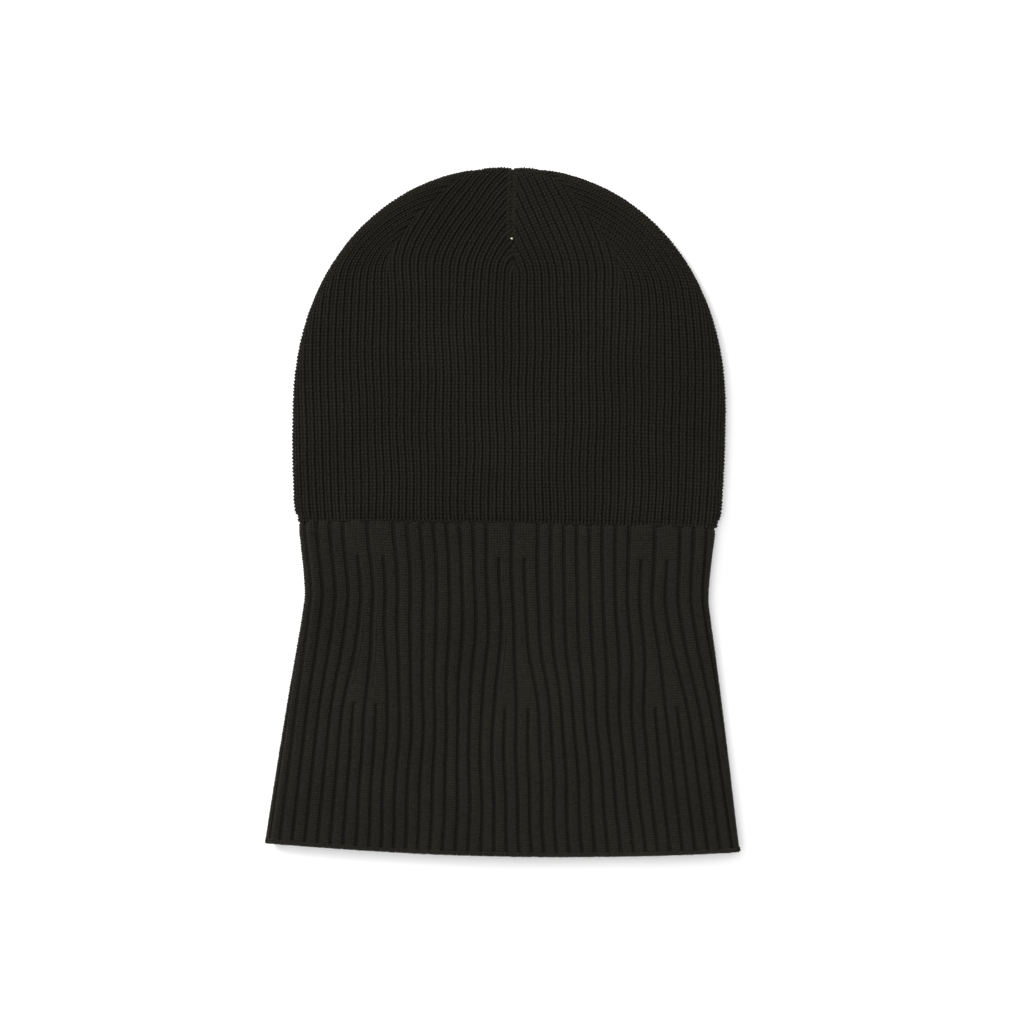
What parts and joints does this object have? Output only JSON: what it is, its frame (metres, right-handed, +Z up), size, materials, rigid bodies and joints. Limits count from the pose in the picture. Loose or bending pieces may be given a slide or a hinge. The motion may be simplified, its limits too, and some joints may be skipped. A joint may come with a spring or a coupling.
{
  "type": "knitted balaclava",
  "caption": "Knitted winter balaclava laid flat on its front: ribbed crown linked to a flared neck tube, with a banded face opening underneath.",
  "frame": {"origin": "middle of the laid outline, on the plane the balaclava rests on", "axes": "+Y from the hem to the top of the crown, +Z up through the back of the head, +X to the right as seen from above"},
  "size_m": [0.254, 0.367, 0.016],
  "materials": {
    "crown_yarn": "matt wool-blend yarn in half-cardigan rib, very dark olive grey",
    "neck_yarn": "matt wool-blend yarn in a three by one rib, very dark olive grey",
    "band_yarn": "matt wool-blend yarn in a one by one rib, very dark olive grey",
    "linking_yarn": "matt linking and sewing yarn, very dark olive grey",
    "label_tape": "plain woven tape, blank, dark grey"
  },
  "bodies": {
    "root": {"crown_back_panel": "crown_yarn", "crown_front_panel": "crown_yarn", "neck_back_panel": "neck_yarn", "neck_front_panel": "neck_yarn", "left_crown_seam": "linking_yarn", "right_crown_seam": "linking_yarn", "back_crown_dart_seam": "linking_yarn", "front_crown_dart_seam": "linking_yarn", "dart_end_tacks": "linking_yarn", "back_link_seam": "linking_yarn", "front_link_seam": "linking_yarn", "left_neck_seam": "linking_yarn", "right_neck_seam": "linking_yarn", "face_rib_band": "band_yarn", "face_band_link_chain": "linking_yarn", "face_band_end_join": "linking_yarn", "hem_start_edge": "neck_yarn", "care_label": "label_tape", "label_stitches": "linking_yarn", "woven_in_yarn_ends": "linking_yarn"}
  },
  "joints": []
}
